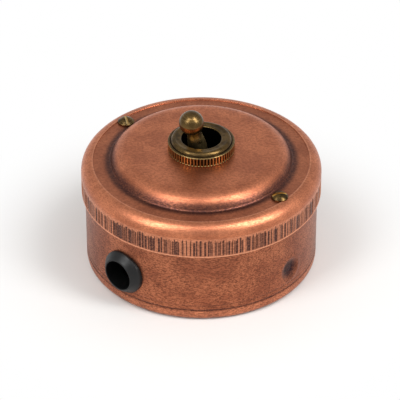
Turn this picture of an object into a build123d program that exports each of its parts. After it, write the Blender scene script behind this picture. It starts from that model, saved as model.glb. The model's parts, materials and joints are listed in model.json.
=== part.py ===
from build123d import *
import os
from math import cos, radians, sin, sqrt

# Surface-mounted toggle light switch in antiqued copper.
# The origin is the centre of the mounting face, +Z points out of the wall through the
# lever, -Y is the side that the cable enters and +-X are the two lid screws.

# Lid: one spun copper sheet, a stepped dome over a skirt that slips over the base cup
lid_r = 40.0
sheet_t = 0.8
body_height = 37.8
skirt_height = 11.3
shoulder_radius = 3.95
shoulder_width = 4.1
shoulder_lip = 0.3
shoulder_lip_round = 0.14
ring_width = 5.6
dome_rise = 4.2
dome_slope = 2.0
dome_edge_radius = 6.0
dome_foot_radius = 0.9
mark_count = 180
mark_band_low = 1.0
mark_band_height = 6.0
mark_width = 0.5
mark_depth = 0.25
mark_uneven = 0.45

# Base cup: a drawn copper cup with two fine lines rolled round its foot
lid_gap = 0.4
base_t = 0.9
rim_drop = 3.3
foot_height = 4.2
foot_edge_radius = 2.2
line_radius = 0.45
line_spacing = 1.8
line_depth = 0.25
fixing_r = 2.25
fixing_spacing = 50.8

# Cable entry and the pressed mark for a second entry a quarter turn away
entry_z = 13.1
grommet_bore_r = 5.2
grommet_neck_r = 6.3
grommet_flange_r = 7.7
grommet_proud = 3.0
grommet_inner_t = 1.8
grommet_inner_r = 7.2
grommet_edge_radius = 1.9
soft_gap = 0.1
dimple_z = 12.5
dimple_r = 4.4
dimple_depth = 0.9

# Lid fixings: two staked pillars and two domed slotted screws
post_r = 2.25
tail_r = 1.9
screw_r = 1.45
screw_head_r = 2.8
screw_head_height = 1.8
screw_seat_gap = 0.1
screw_foot_gap = 0.65
screw_length = 8.0
screw_slot_width = 0.8
screw_slot_depth = 0.9
screw_hole_r = 1.8
thread_gap = 0.05
fit_gap = 0.05

# Ring nut, threaded bush and the washer and clip that hold the mechanism to the lid
nut_r = 11.1
nut_rim_height = 3.4
nut_crown_height = 1.5
nut_crown_r = 10.1
nut_lip_t = 1.2
nut_edge = 0.35
tooth_count = 64
tooth_depth = 0.38
bore_r = 6.6
bush_r = 8.0
bush_flange_r = 10.5
bush_flange_t = 1.0
barrel_r = 7.6
barrel_below_pivot = 3.0
washer_t = 0.4
washer_teeth = 16
clip_t = 0.7
clip_width = 0.6
clip_opening = 6.0

# Lever: turned brass, leaning towards the cable entry when the switch is at rest
throw_deg = 32.0
pivot_depth = 4.5
lever_length = 17.9
ball_r = 4.1
neck_r = 2.3
lever_root_r = 2.8
lever_taper = 9.5
boss_r = 3.9
boss_half_width = 3.5
pin_r = 1.0
spacer_r = 2.0
spacer_inset = 0.5
arm_r = 3.0
arm_bore_r = 2.05
arm_web = 2.5

# Snap action: sprung plunger, dished rocker and three contacts
plunger_r = 2.0
plunger_guide = 4.0
plunger_show = 1.5
plunger_nose = 2.9
plunger_tip_r = 1.2
plunger_gap = 0.1
spring_wire_r = 0.25
spring_coil_r = 1.5
spring_pitch = 0.9
rocker_throw_deg = 14.0
rocker_t = 0.9
rocker_half_width = 3.2
rocker_half_length = 9.5
rocker_dish_half = 4.6
rocker_seat = 0.2
trunnion_r = 0.8
hinge_height = 5.0
ear_t = 0.8
ear_gap = 0.5
ear_half = 2.0
contact_t = 0.8
contact_half_width = 2.2
contact_reach = 2.7
contact_inset = 0.2
pad_r = 1.2
pad_t = 0.6
pad_gap = 0.08

# Moulded housing and the pressed steel frame that carries it
frame_t = 1.0
frame_half_length = 10.0
frame_leg_half = 6.0
frame_bend_radius = 1.2
frame_foot = 3.0
housing_gap = 0.1
housing_overhang = 0.8
housing_half_length = 13.0
housing_wall = 1.8
housing_floor = 2.5
housing_edge = 1.0
housing_drop = 0.3

# Terminals
terminal_half_width = 3.4
terminal_half_length = 2.5
terminal_height = 6.0
terminal_inset = 3.4
terminal_clearance = 3.6
wire_hole_r = 1.4
wire_hole_z = 3.7
clamp_screw_r = 1.2
clamp_head_r = 2.2
clamp_head_height = 1.5
earth_x = 17.0
earth_y = -22.0
earth_r = 3.2
earth_height = 8.5
earth_hole_z = 4.8

# Levels and radii that follow from the sizes above
lip_inner_r = lid_r - shoulder_width
dome_r = lip_inner_r - ring_width
screw_ring_r = dome_r + screw_foot_gap + screw_head_r
dome_top = body_height + dome_rise
skirt_bottom = body_height - skirt_height
base_r = lid_r - sheet_t - lid_gap
base_rim = body_height - rim_drop
ring_under = body_height - sheet_t
nut_top = dome_top + nut_rim_height + nut_crown_height
washer_top = dome_top - sheet_t
flange_top = washer_top - washer_t
frame_top = flange_top - bush_flange_t
frame_under = frame_top - frame_t
pivot_z = dome_top - pivot_depth
barrel_bottom = pivot_z - barrel_below_pivot
housing_top = barrel_bottom - housing_drop
housing_bottom = base_t + terminal_clearance + clamp_head_height + terminal_height
cavity_floor = housing_bottom + housing_floor
housing_half_width = barrel_r + housing_overhang
cavity_half_x = housing_half_width - housing_wall
cavity_half_y = housing_half_length - housing_wall
frame_half_width = housing_half_width + housing_gap + frame_t
hinge_z = cavity_floor + hinge_height
dish_top = trunnion_r + rocker_t - rocker_seat
plunger_reach = pivot_z - hinge_z - dish_top - plunger_gap
terminal_pitch = housing_half_length - terminal_inset
arm_length = plunger_reach - plunger_show - plunger_nose
arm_bore_depth = arm_length - arm_web
lean = throw_deg / 2
rocker_lean = rocker_throw_deg / 2

# The dish's radius lets the leaning plunger's tip, at tip_y and tip_z from the rocker's
# hinge, clear it by the same gap as it has when it stands upright
tip_y = plunger_reach * sin(radians(lean))
tip_z = pivot_z - hinge_z - plunger_reach * cos(radians(lean))
tip_rise = tip_y * sin(radians(rocker_lean)) + tip_z * cos(radians(rocker_lean))
tip_sum = tip_y ** 2 + tip_z ** 2 + dish_top ** 2 - plunger_gap ** 2
rocker_dish_r = (tip_sum / 2 - dish_top * tip_rise) / (tip_rise - dish_top - plunger_gap)
dish_height = rocker_dish_r - sqrt(rocker_dish_r ** 2 - rocker_dish_half ** 2)
wing_top = dish_top + dish_height

LOW = (Align.CENTER, Align.CENTER, Align.MIN)


def rod(radius, low, high):
    return Pos(0, 0, low) * Cylinder(radius, high - low, align=LOW)


def tube(outer, inner, low, high):
    return rod(outer, low, high) - rod(inner, low, high)


def block(half_x, half_y, low, high):
    return Pos(0, 0, low) * Box(2 * half_x, 2 * half_y, high - low, align=LOW)


def turned(points, radii):
    outline = FilletPolyline(*points, radius=radii, close=True)
    return revolve(Plane.XZ * make_face(outline), Axis.Z)


def ring_of(tool, count):
    return [Rot(0, 0, 360 * i / count) * tool for i in range(count)]


def groove_tool(radius, half_width, depth, low, high):
    """A V-section bar that leaves an upright groove in a wall of the given radius."""
    outside = radius + depth
    section = make_face(Polyline((outside, -2 * half_width), (radius - depth, 0),
                                 (outside, 2 * half_width), close=True))
    return Pos(0, 0, low) * extrude(section, amount=high - low)


def lid_outside():
    """The solid inside the lid's outer skin, from the skirt's edge up."""
    shoulder_top = body_height + shoulder_lip
    points = [(0, skirt_bottom), (lid_r, skirt_bottom), (lid_r, shoulder_top),
              (lip_inner_r, shoulder_top), (lip_inner_r, body_height), (dome_r, body_height),
              (dome_r - dome_slope, dome_top), (0, dome_top)]
    radii = [0, 0, shoulder_radius, shoulder_lip_round, 0, dome_foot_radius, dome_edge_radius, 0]
    return turned(points, radii)


def lid_inside():
    """The space under the sheet, with the same bends one sheet further in."""
    wall = lid_r - sheet_t
    side = sqrt(dome_slope ** 2 + dome_rise ** 2)
    foot = dome_r - sheet_t * (side - dome_slope) / dome_rise
    under = dome_top - sheet_t
    low = skirt_bottom - sheet_t
    points = [(0, low), (wall, low), (wall, ring_under), (foot, ring_under),
              (foot - dome_slope, under), (0, under)]
    radii = [0, 0, shoulder_radius - sheet_t, dome_foot_radius + sheet_t,
             dome_edge_radius - sheet_t, 0]
    return turned(points, radii)


def lid():
    body = lid_outside() - lid_inside()
    body -= rod(bush_r + 4 * fit_gap, ring_under, dome_top)
    for side in (-1, 1):
        body -= Pos(side * screw_ring_r, 0) * rod(screw_hole_r, 0, dome_top)
        seat = rod(screw_head_r + screw_seat_gap, body_height, dome_top)
        body -= Pos(side * screw_ring_r, 0) * seat
    return body - hand_rolled_marks()


def hand_rolled_marks():
    """Upright marks in a ring. Their widths and heights wander, as a worn wheel leaves them."""
    low = skirt_bottom + mark_band_low
    marks = []
    for i in range(mark_count):
        wander = mark_uneven * sin(i * i)
        half_width = mark_width / 2 * (1 + wander)
        height = mark_band_height * (1 - mark_uneven / 4 * abs(wander))
        tool = groove_tool(lid_r, half_width, mark_depth, low, low + height)
        marks.append(Rot(0, 0, 360 * i / mark_count) * tool)
    return marks


def base_cup():
    body = turned([(0, 0), (base_r, 0), (base_r, base_rim), (0, base_rim)],
                  [0, foot_edge_radius, 0, 0])
    inner = base_r - base_t
    body -= turned([(0, base_t), (inner, base_t), (inner, base_rim + base_t),
                    (0, base_rim + base_t)], [0, foot_edge_radius - base_t, 0, 0])
    line_r = base_r + line_radius - line_depth
    for row in range(2):
        body -= Pos(0, 0, foot_height + row * line_spacing) * Torus(line_r, line_radius)
    body -= entry_bar(grommet_neck_r + soft_gap / 2)
    body = dimple(body, inner)
    for side in (-1, 1):
        body -= Pos(side * fixing_spacing / 2, 0) * rod(fixing_r, 0, base_t)
        body -= Pos(side * screw_ring_r, 0) * rod(tail_r + fit_gap, 0, base_t)
    return body - Pos(earth_x, earth_y) * rod(tail_r + fit_gap, 0, base_t)


def dimple(body, inner):
    """Press a round mark into the wall on the +X side, with the bump that it leaves inside."""
    press_r = (dimple_r ** 2 + dimple_depth ** 2) / (2 * dimple_depth)
    centre = Pos(base_r + press_r - dimple_depth, 0, dimple_z)
    body += (centre * Sphere(press_r + base_t)) & rod(inner + base_t / 2, base_t, base_rim)
    return body - centre * Sphere(press_r)


def entry_bar(radius, start=0.0, end=2 * lid_r):
    """A round bar along -Y on the axis of the cable entry."""
    bar = Cylinder(radius, end - start, align=LOW)
    return Pos(0, -start, entry_z) * Rot(90, 0, 0) * bar


def grommet():
    front = base_r + grommet_proud
    back = sqrt((base_r - base_t) ** 2 - grommet_flange_r ** 2) - grommet_inner_t
    flange = entry_bar(grommet_flange_r, base_r - base_t, front)
    flange = fillet(flange.edges().group_by(Axis.Y)[0], grommet_edge_radius)
    body = flange + entry_bar(grommet_inner_r, back, base_r) + entry_bar(grommet_neck_r, back, front)
    wall = tube(base_r + soft_gap, base_r - base_t - soft_gap, 0, base_rim)
    body -= wall - entry_bar(grommet_neck_r)
    return body - entry_bar(grommet_bore_r)


def slotted(screw, width, depth, top, reach):
    return screw - block(reach, width / 2, top - depth, top + depth)


def lid_screw(side):
    dome = (screw_head_r ** 2 + screw_head_height ** 2) / (2 * screw_head_height)
    top = screw_head_height
    head = rod(screw_head_r, 0, top) & (Pos(0, 0, top - dome) * Sphere(dome))
    head += rod(screw_head_r, 0, top / 5)
    head = slotted(head, screw_slot_width, screw_slot_depth, top, screw_head_r)
    screw = head + rod(screw_r, -screw_length, 0)
    return Pos(side * screw_ring_r, 0, body_height) * screw


def lid_post(side):
    post = rod(post_r, base_t, ring_under) + rod(tail_r, 0, base_t)
    depth = screw_length + screw_r
    post -= rod(screw_r + thread_gap, body_height - depth, ring_under)
    return Pos(side * screw_ring_r, 0) * post


def ring_nut():
    rim_top = dome_top + nut_rim_height
    lip_under = nut_top - nut_lip_t
    thread_r = bush_r + thread_gap
    body = turned([(bore_r, lip_under), (thread_r, lip_under), (thread_r, dome_top),
                   (nut_r, dome_top), (nut_r, rim_top), (nut_crown_r, rim_top),
                   (nut_crown_r, nut_top), (bore_r, nut_top - nut_edge)],
                  [0, 0, 0, nut_edge, nut_edge, nut_edge / 2, nut_crown_height - nut_edge / 2, 0])
    tooth = groove_tool(nut_r, tooth_depth / 2, tooth_depth, dome_top + nut_edge,
                        rim_top - nut_edge)
    return body - ring_of(tooth, tooth_count)


def bush():
    top = nut_top - nut_lip_t - fit_gap
    body = rod(bush_r, frame_top, top) + rod(bush_flange_r, frame_top, flange_top)
    body += rod(barrel_r, barrel_bottom, frame_top)
    body -= rod(bore_r, barrel_bottom, top)
    return body - across(pin_r + fit_gap, -barrel_r, barrel_r)


def across(radius, left, right):
    """A round bar along X on the lever's pivot axis."""
    bar = Cylinder(radius, right - left, align=LOW)
    return Pos(left, 0, pivot_z) * Rot(0, 90, 0) * bar


def lock_washer():
    outer = bush_flange_r
    body = tube(outer, bush_r + 4 * fit_gap, flange_top, washer_top)
    notch = Pos(outer, 0) * block(washer_t, washer_t, flange_top, washer_top)
    return body - ring_of(notch, washer_teeth)


def retaining_clip():
    inner = barrel_r + fit_gap
    body = tube(inner + clip_width, inner, frame_under - clip_t, frame_under)
    gap = Pos(0, inner) * block(clip_opening / 2, 2 * clip_width, frame_under - clip_t, frame_under)
    return body - gap


def frame():
    wide = frame_half_width
    foot = housing_bottom - frame_t
    height = frame_top - foot
    middle = (frame_top + foot) / 2
    outer = RectangleRounded(2 * wide, height, frame_bend_radius)
    inner = RectangleRounded(2 * (wide - frame_t), height - 2 * frame_t,
                             frame_bend_radius - frame_t)
    gap = Pos(0, -height / 2) * Rectangle(2 * (wide - frame_foot), 3 * frame_t)
    section = Pos(0, 0, middle) * Rot(90, 0, 0) * (outer - inner - gap)
    body = extrude(section, amount=frame_leg_half, both=True)
    body += block(wide - frame_bend_radius, frame_half_length, frame_under, frame_top)
    return body - rod(barrel_r + fit_gap, frame_under, frame_top)


def housing():
    body = block(housing_half_width, housing_half_length, housing_bottom, housing_top)
    body = fillet(body.edges().filter_by(Axis.Z) + body.edges().group_by(Axis.Z)[0], housing_edge)
    body -= block(cavity_half_x, cavity_half_y, cavity_floor, housing_top)
    slot_low = housing_bottom
    slot_x = contact_half_width + fit_gap
    slot_y = contact_t / 2 + fit_gap
    for y in (-contact_y(), 0, contact_y()):
        body -= Pos(0, y) * block(slot_x, slot_y, slot_low, cavity_floor)
    return body


def contact_y():
    """The middle of an end contact's upright, measured from the middle contact."""
    return cavity_half_y - contact_inset - contact_t / 2


def leaned(piece, angle, height):
    return Pos(0, 0, height) * Rot(angle, 0, 0) * piece


def toggle_lever():
    shaft = turned([(0, 0), (lever_root_r, 0), (lever_root_r, lever_taper - lever_root_r),
                    (neck_r, lever_length - ball_r), (neck_r, lever_length), (0, lever_length)],
                   [0, 0, lever_root_r * 2, 0, 0, 0])
    body = shaft + Pos(0, 0, lever_length) * Sphere(ball_r)
    body += Sphere(boss_r) & block(boss_half_width, boss_r, -boss_r, boss_r)
    body += rod(arm_r, -arm_length, 0)
    body -= rod(arm_bore_r, -arm_length, arm_bore_depth - arm_length)
    body -= Rot(0, 90, 0) * Cylinder(pin_r + fit_gap, 4 * boss_r)
    return leaned(body, lean, pivot_z)


def plunger():
    top = -arm_length + plunger_guide
    shoulder = -arm_length - plunger_show
    tip = -plunger_reach
    body = turned([(0, top), (plunger_r, top), (plunger_r, shoulder),
                   (plunger_tip_r, shoulder - plunger_r + plunger_tip_r),
                   (plunger_tip_r, tip), (0, tip)],
                  [0, 0, 0, 0, plunger_tip_r * 0.98, 0])
    return leaned(body, lean, pivot_z)


def plunger_spring():
    low = -arm_length + plunger_guide + spring_wire_r
    high = arm_bore_depth - arm_length - spring_wire_r
    path = Helix(spring_pitch, high - low, spring_coil_r)
    section = Plane(path @ 0, z_dir=path % 0) * Circle(spring_wire_r)
    coil = sweep(section, path)
    return leaned(Pos(0, 0, low) * coil, lean, pivot_z)


def rocker_contact():
    """A strip bent to a dish between two flat wings, on a trunnion rod."""
    centre = dish_top + rocker_dish_r
    ring = Pos(0, centre) * (Circle(rocker_dish_r + rocker_t) - Circle(rocker_dish_r))
    below = Pos(0, wing_top - centre) * Rectangle(2 * rocker_half_length, 2 * centre)
    wing_start = rocker_dish_half
    wing = Rectangle(rocker_half_length - wing_start, rocker_t, align=(Align.MIN, Align.MAX))
    section = (ring & below) + Pos(wing_start, wing_top) * wing
    section += Pos(-rocker_half_length, wing_top) * wing
    strip = extrude(Plane.YZ * section, amount=rocker_half_width, both=True)
    half = rocker_half_width + ear_gap + ear_t
    strip += Rot(0, 90, 0) * Cylinder(trunnion_r, 2 * half)
    return leaned(strip, -rocker_lean, hinge_z)


def centre_contact():
    inside = rocker_half_width + ear_gap
    outside = inside + ear_t
    body = block(outside, ear_half, cavity_floor, cavity_floor + contact_t)
    ear = Pos(0, 0, cavity_floor) * Box(ear_t, 2 * ear_half, hinge_height, align=LOW)
    eye = Pos(0, 0, hinge_z) * Rot(0, 90, 0) * Cylinder(ear_half, ear_t)
    for side in (-1, 1):
        body += Pos(side * (inside + ear_t / 2), 0) * (ear + eye)
    body -= Pos(0, 0, hinge_z) * Rot(0, 90, 0) * Cylinder(trunnion_r + fit_gap, 3 * outside)
    return body + block(contact_half_width, contact_t / 2, housing_bottom, cavity_floor)


def wing_under(y):
    """The height of a lowered wing's underside at a distance y from the hinge."""
    tilt = radians(rocker_lean)
    return hinge_z + (wing_top - rocker_t - y * sin(tilt)) / cos(tilt)


def end_contact(side):
    pad_y = contact_y() + contact_t / 2 - contact_reach + pad_r / 2
    pad_top = wing_under(pad_y + pad_r) - pad_gap
    ledge_top = pad_top - pad_t
    upright = Pos(0, contact_y()) * block(contact_half_width, contact_t / 2, housing_bottom, ledge_top)
    ledge_half = contact_reach / 2
    ledge_y = contact_y() + contact_t / 2 - ledge_half
    ledge = Pos(0, ledge_y) * block(contact_half_width, ledge_half, ledge_top - contact_t, ledge_top)
    body = upright + ledge + Pos(0, pad_y) * rod(pad_r, ledge_top, pad_top)
    return body if side > 0 else Rot(0, 0, 180) * body


def terminal_block(row):
    bottom = housing_bottom - terminal_height
    body = block(terminal_half_width, terminal_half_length, bottom, housing_bottom)
    hole = Rot(0, 90, 0) * Cylinder(wire_hole_r, 3 * terminal_half_width)
    body -= Pos(0, 0, bottom + wire_hole_z) * hole
    body -= rod(clamp_screw_r + thread_gap, bottom, bottom + wire_hole_z)
    return Pos(0, row * terminal_pitch) * body


def clamp_screw(reach):
    """A cheese-head slotted screw, standing head down, with its seat at the origin."""
    head = rod(clamp_head_r, -clamp_head_height, 0)
    top_edge = head.edges().group_by(Axis.Z)[0]
    head = fillet(top_edge, clamp_head_height / 4)
    head -= block(clamp_head_r, screw_slot_width / 2, -clamp_head_height,
                  screw_slot_depth - clamp_head_height)
    return head + rod(clamp_screw_r, 0, reach)


def terminal_screw(row):
    bottom = housing_bottom - terminal_height
    return Pos(0, row * terminal_pitch, bottom) * clamp_screw(wire_hole_z - wire_hole_r)


def earth_terminal():
    top = base_t + earth_height
    body = rod(earth_r, base_t, top) + rod(tail_r, 0, base_t)
    hole_z = base_t + earth_hole_z
    body -= Pos(0, 0, hole_z) * Rot(0, 90, 0) * Cylinder(wire_hole_r, 3 * earth_r)
    body -= rod(clamp_screw_r + thread_gap, hole_z, top)
    return Pos(earth_x, earth_y) * body


def earth_screw():
    top = base_t + earth_height
    reach = earth_height - earth_hole_z - wire_hole_r
    return Pos(earth_x, earth_y, top) * Rot(180, 0, 0) * clamp_screw(reach)


def pin_spacer(side):
    left = boss_half_width + fit_gap
    right = bore_r - spacer_inset
    body = across(spacer_r, left, right) - across(pin_r + fit_gap, left, right)
    return body if side > 0 else Rot(0, 0, 180) * body


nodes = {
    "base_cup": base_cup(),
    "lid": lid(),
    "cable_grommet": grommet(),
    "ring_nut": ring_nut(),
    "bush": bush(),
    "lock_washer": lock_washer(),
    "retaining_clip": retaining_clip(),
    "frame": frame(),
    "housing": housing(),
    "toggle_lever": toggle_lever(),
    "pivot_pin": across(pin_r, -barrel_r, barrel_r),
    "plunger": plunger(),
    "plunger_spring": plunger_spring(),
    "rocker_contact": rocker_contact(),
    "centre_contact": centre_contact(),
    "earth_terminal": earth_terminal(),
    "earth_screw": earth_screw(),
}
for name, side in (("left", -1), ("right", 1)):
    nodes["lid_screw_" + name] = lid_screw(side)
    nodes["lid_post_" + name] = lid_post(side)
    nodes["pin_spacer_" + name] = pin_spacer(side)
for name, side in (("front", -1), ("rear", 1)):
    nodes["end_contact_" + name] = end_contact(side)
for name, row in (("front", -1), ("centre", 0), ("rear", 1)):
    nodes["terminal_block_" + name] = terminal_block(row)
    nodes["terminal_screw_" + name] = terminal_screw(row)

os.makedirs("parts", exist_ok=True)
for name, piece in nodes.items():
    export_step(piece, os.path.join("parts", name + ".step"))
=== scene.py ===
# %% [markdown]
# # A copper toggle light switch
# The real object is a round surface switch: a drawn copper drum, a stepped copper lid
# spun on a lathe, a small brass nut and lever in the middle, and a rubber ring where the
# cable comes in. The solids arrive from CAD in metres, already in place. This script
# gives them the surfaces that make it look old, handled and made of real metal.

# %% Load the fixed frame
import json
import math

import bmesh
import bpy
from mathutils import Matrix, Vector


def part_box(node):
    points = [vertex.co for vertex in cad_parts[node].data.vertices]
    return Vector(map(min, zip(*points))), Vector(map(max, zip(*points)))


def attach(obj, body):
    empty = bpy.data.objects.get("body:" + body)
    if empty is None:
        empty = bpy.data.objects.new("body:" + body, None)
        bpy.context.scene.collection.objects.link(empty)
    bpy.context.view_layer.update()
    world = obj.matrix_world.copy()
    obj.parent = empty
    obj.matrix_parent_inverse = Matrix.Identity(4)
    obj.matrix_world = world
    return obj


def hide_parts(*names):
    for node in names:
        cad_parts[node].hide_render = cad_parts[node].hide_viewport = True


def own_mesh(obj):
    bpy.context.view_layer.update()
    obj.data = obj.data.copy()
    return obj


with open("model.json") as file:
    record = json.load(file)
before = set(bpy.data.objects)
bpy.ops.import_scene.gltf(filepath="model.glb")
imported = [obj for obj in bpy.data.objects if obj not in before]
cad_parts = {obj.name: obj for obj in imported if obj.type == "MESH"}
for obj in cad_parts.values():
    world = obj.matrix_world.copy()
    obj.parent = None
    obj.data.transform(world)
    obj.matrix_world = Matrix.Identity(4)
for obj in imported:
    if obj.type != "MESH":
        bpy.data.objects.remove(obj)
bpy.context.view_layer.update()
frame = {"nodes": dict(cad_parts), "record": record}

MM = 0.001

# %% [markdown]
# ## Sizes read from the frame
# Nothing is measured twice. The lid, the drum and the nut are round about the Z axis, so
# one corner of each box gives a radius and its heights. Only the sizes that a box can't
# tell, such as a bend radius, are written in the cells below, as plain millimetres.


# %% Sizes that the frame gives
def box_mm(node):
    low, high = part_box(node)
    return low / MM, high / MM


lid_low, lid_high = box_mm("lid")
base_high = box_mm("base_cup")[1]
nut_low, nut_high = box_mm("ring_nut")
grommet_low, grommet_high = box_mm("cable_grommet")
screw_low, screw_high = box_mm("lid_screw_right")
lid_r = lid_high.x
base_r = base_high.x
nut_r = nut_high.x
entry_z = (grommet_low.z + grommet_high.z) / 2
screw_ring_r = (screw_low.x + screw_high.x) / 2
print("lid radius", round(lid_r, 2), "drum radius", round(base_r, 2),
      "screws at", round(screw_ring_r, 2))

# %% [markdown]
# ## Small helpers
# Colours are easiest to choose as the hex values of a paint program, but Blender works in
# linear light, so one function converts them. Another adds any node with its settings and
# its links in one call, and every tree in this file is written with it. A third turns a
# size in millimetres into the scale of a noise, so that patterns keep their real size.


# %% Colour and node helpers
MATH = "ShaderNodeMath"
VECTOR = "ShaderNodeVectorMath"
RANGE = "ShaderNodeMapRange"
NOISE = "ShaderNodeTexNoise"
MAPPING = "ShaderNodeMapping"
MIX = "ShaderNodeMix"


def linear(text):
    """A hex colour such as B87333 as linear red, green, blue and alpha."""
    parts = [int(text[i:i + 2], 16) / 255 for i in (0, 2, 4)]
    return [c / 12.92 if c <= 0.04045 else ((c + 0.055) / 1.055) ** 2.4 for c in parts] + [1.0]


def add(tree, kind, inputs=(), out=0, **settings):
    """Add one node. Inputs hold values or sockets to link; one output comes back."""
    made = tree.nodes.new(kind)
    for key, value in settings.items():
        setattr(made, key, value)
    for key, value in inputs.items() if isinstance(inputs, dict) else enumerate(inputs):
        if isinstance(value, bpy.types.NodeSocket):
            tree.links.new(value, made.inputs[key])
        else:
            made.inputs[key].default_value = value
    return made.outputs[out] if made.outputs else made


def per_mm(size):
    """The scale of a noise whose lumps measure about this many millimetres."""
    return 1 / (size * MM)


print("copper in linear light", [round(v, 3) for v in linear("B4694A")])

# %% [markdown]
# ## Outlines and turning
# Everything round here was turned or spun, so it is made the same way: a half outline with
# rounded corners, swept round the axis. Rounding corners with a formula gives smooth arcs
# with few numbers, and it follows the way that a spinner's tool leaves a bend.


# %% Outline and lathe helpers
def rounded(corners, step_deg=12):
    """Points along an outline. Each corner is (radius, height, bend radius), in mm."""
    points = []
    for i, (x, z, bend) in enumerate(corners):
        here = Vector((x, z))
        if bend == 0 or i in (0, len(corners) - 1):
            points.append(here)
            continue
        back = (Vector(corners[i - 1][:2]) - here).normalized()
        ahead = (Vector(corners[i + 1][:2]) - here).normalized()
        half = back.angle(ahead) / 2
        centre = here + (back + ahead).normalized() * (bend / math.sin(half))
        start = here + back * (bend / math.tan(half)) - centre
        end = here + ahead * (bend / math.tan(half)) - centre
        turn = start.angle_signed(end)
        count = max(3, round(math.degrees(abs(turn)) / step_deg))
        for k in range(count + 1):
            points.append(centre + Matrix.Rotation(-turn * k / count, 2) @ start)
    return points


def divided(points, longest):
    """The same outline with no step longer than the given length in mm."""
    fine = [points[0]]
    for a, b in zip(points, points[1:]):
        count = max(1, math.ceil((b - a).length / longest))
        fine += [a.lerp(b, k / count) for k in range(1, count + 1)]
    return fine


def turned(name, outline, segments, material=None):
    """Sweep a closed outline in mm round Z, and merge the points that meet on the axis."""
    mesh = bpy.data.meshes.new(name)
    rows = len(outline)
    verts = []
    for s in range(segments):
        angle = 2 * math.pi * s / segments
        verts += [(p.x * MM * math.cos(angle), p.x * MM * math.sin(angle), p.y * MM) for p in outline]
    faces = []
    for s in range(segments):
        here, there = s * rows, (s + 1) % segments * rows
        for k in range(rows):
            nxt = (k + 1) % rows
            faces.append((here + k, there + k, there + nxt, here + nxt))
    mesh.from_pydata(verts, [], faces)
    if material:
        mesh.materials.append(material)
    return cleaned(name, mesh)


def cleaned(name, mesh):
    """Merge doubled points, turn every face outwards and link the mesh as an object."""
    work = bmesh.new()
    work.from_mesh(mesh)
    bmesh.ops.remove_doubles(work, verts=work.verts, dist=1e-7)
    bmesh.ops.recalc_face_normals(work, faces=work.faces)
    work.to_mesh(mesh)
    work.free()
    piece = bpy.data.objects.new(name, mesh)
    bpy.context.scene.collection.objects.link(piece)
    return piece


def drill(radius, low, high):
    """A round cutter between two heights, in mm."""
    corners = [(0, low), (radius, low), (radius, high), (0, high)]
    return turned("drill", [Vector(c) for c in corners], 64)


def saw(width, depth, height):
    """A square cutter round the origin, in mm."""
    mesh = bpy.data.meshes.new("saw")
    work = bmesh.new()
    bmesh.ops.create_cube(work, size=MM, matrix=Matrix.Diagonal((width, depth, height, 1)))
    work.to_mesh(mesh)
    work.free()
    return cleaned("saw", mesh)


def placed(piece, matrix):
    """Move the mesh itself, so that the object stays at the origin."""
    piece.data.transform(matrix)
    return piece


def shift(x, y, z):
    return Matrix.Translation((x * MM, y * MM, z * MM))


# %% [markdown]
# ## Cutting and growing
# Holes are cut with a Boolean modifier, and patterns are grown with Geometry Nodes. Both
# are finished the same way: Blender evaluates the stack once, the result becomes a plain
# mesh, and the modifier goes. A plain mesh is what a lasting model should be made of.


# %% Modifier helpers
def apply_modifiers(piece):
    graph = bpy.context.evaluated_depsgraph_get()
    mesh = bpy.data.meshes.new_from_object(piece.evaluated_get(graph), depsgraph=graph,
                                           preserve_all_data_layers=True)
    piece.modifiers.clear()
    piece.data = mesh
    return piece


def cut(piece, *tools):
    """Take other meshes out of a piece for good, and throw the tools away."""
    for tool in tools:
        change = piece.modifiers.new("cut", "BOOLEAN")
        change.operation = "DIFFERENCE"
        change.solver = "EXACT"
        change.object = tool
    apply_modifiers(piece)
    for tool in tools:
        bpy.data.objects.remove(tool)
    return piece


def grown(piece, tree, values):
    """Run a Geometry Nodes tree on a piece and keep the result as its plain mesh."""
    change = piece.modifiers.new(tree.name, "NODES")
    change.node_group = tree
    sockets = [i for i in tree.interface.items_tree if i.in_out == "INPUT"]
    names = {socket.name: socket.identifier for socket in sockets}
    for name, value in values.items():
        change[names[name]] = value
    return apply_modifiers(piece)


def dressed(piece, body, slot, *nodes, crease_deg=40):
    """Shade the faces smooth up to a crease angle, parent the piece to its body and hide the nodes it
    replaces. The slot is not used.
    """
    piece.data.shade_smooth()
    piece.data.set_sharp_from_angle(angle=math.radians(crease_deg))
    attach(piece, body)
    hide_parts(*nodes)
    print(piece.name, len(piece.data.polygons), "faces")


# %% [markdown]
# ## Where dirt lies and cloths rub
# Old metal is never one colour. Film stays in hollows and a cloth polishes what stands
# out, so a finish needs to know where a point is: how far from the axis, how high, and how
# far round. These functions build those measures once, for materials and for the Geometry
# Nodes alike, because both are only sums on a position.


# %% Places on a round piece
def from_axis(t, place):
    flat = add(t, VECTOR, [place, (1, 1, 0)], operation="MULTIPLY")
    return add(t, VECTOR, [flat], "Value", operation="LENGTH")


def height_of(t, place):
    return add(t, "ShaderNodeSeparateXYZ", [place], "Z")


def way_round(t, place):
    """How far round the Z axis a point lies, from 0 to 1."""
    x = add(t, "ShaderNodeSeparateXYZ", [place], "X")
    y = add(t, "ShaderNodeSeparateXYZ", [place], "Y")
    angle = add(t, MATH, [y, x], operation="ARCTAN2")
    return add(t, MATH, [angle, 1 / (2 * math.pi), 0.5], operation="MULTIPLY_ADD")


def between(t, value, low, high, soft):
    """1 between two lengths in mm, fading over a soft width on both sides."""
    rise = add(t, RANGE, [value, (low - soft) * MM, low * MM], interpolation_type="SMOOTHSTEP")
    fall = add(t, RANGE, [value, (high + soft) * MM, high * MM], interpolation_type="SMOOTHSTEP")
    return add(t, MATH, [rise, fall], operation="MULTIPLY")


def in_ring(low, high, soft):
    """A mask for a finish: 1 between two radii in mm."""
    return lambda t, place: between(t, from_axis(t, place), low, high, soft)


def in_band(low, high, soft):
    """A mask for a finish: 1 between two heights in mm."""
    return lambda t, place: between(t, height_of(t, place), low, high, soft)


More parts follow.
